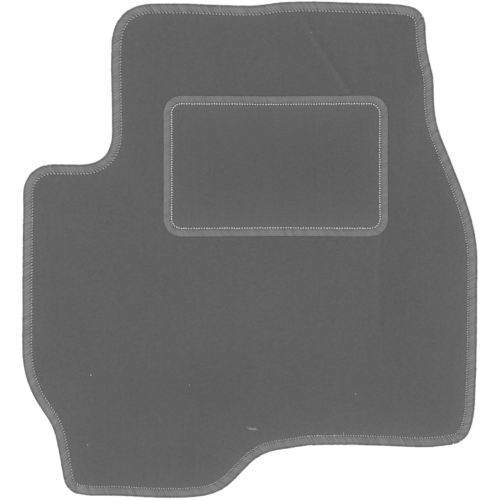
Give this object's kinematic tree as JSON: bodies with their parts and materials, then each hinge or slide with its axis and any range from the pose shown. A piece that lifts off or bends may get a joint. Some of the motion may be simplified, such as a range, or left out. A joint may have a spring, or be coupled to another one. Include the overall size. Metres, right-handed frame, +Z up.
{
  "type": "car floor mat",
  "caption": "Flat carpet floor mat for a driver's footwell, with a footrest notch, an overlocked yarn edge and a sewn-on rectangular heel pad.",
  "frame": {"origin": "centre of the mat's bounding box on the floor plane that it lies on", "axes": "+Z up out of the pile, +Y along the length towards the pedals, +X to the driver's right, with the footrest notch at -X"},
  "size_m": [0.6368, 0.6942, 0.01],
  "materials": {
    "backing_rubber": "moulded anti-slip rubber with a fine grain",
    "carrier_cloth": "spunbond carrier cloth",
    "carpet_pile": "short cut pile, even grey",
    "edge_yarn": "bulked overlock yarn",
    "edge_stitch": "light needle thread in short stitches",
    "pad_edge_yarn": "smooth overlock yarn, a little lighter",
    "seam_thread": "near-white lockstitch thread"
  },
  "bodies": {
    "root": {"mat_grip_backing": "backing_rubber", "mat_carrier_cloth": "carrier_cloth", "mat_pile": "carpet_pile", "mat_edge_lower_yarn": "edge_yarn", "mat_edge_upper_yarn": "edge_yarn", "mat_edge_needle_thread": "edge_stitch", "pad_carrier_cloth": "carrier_cloth", "pad_pile": "carpet_pile", "pad_edge_lower_yarn": "pad_edge_yarn", "pad_edge_upper_yarn": "pad_edge_yarn", "pad_edge_needle_thread": "pad_edge_yarn", "pad_seam_top_thread": "seam_thread", "pad_seam_bobbin_thread": "seam_thread"}
  },
  "joints": []
}
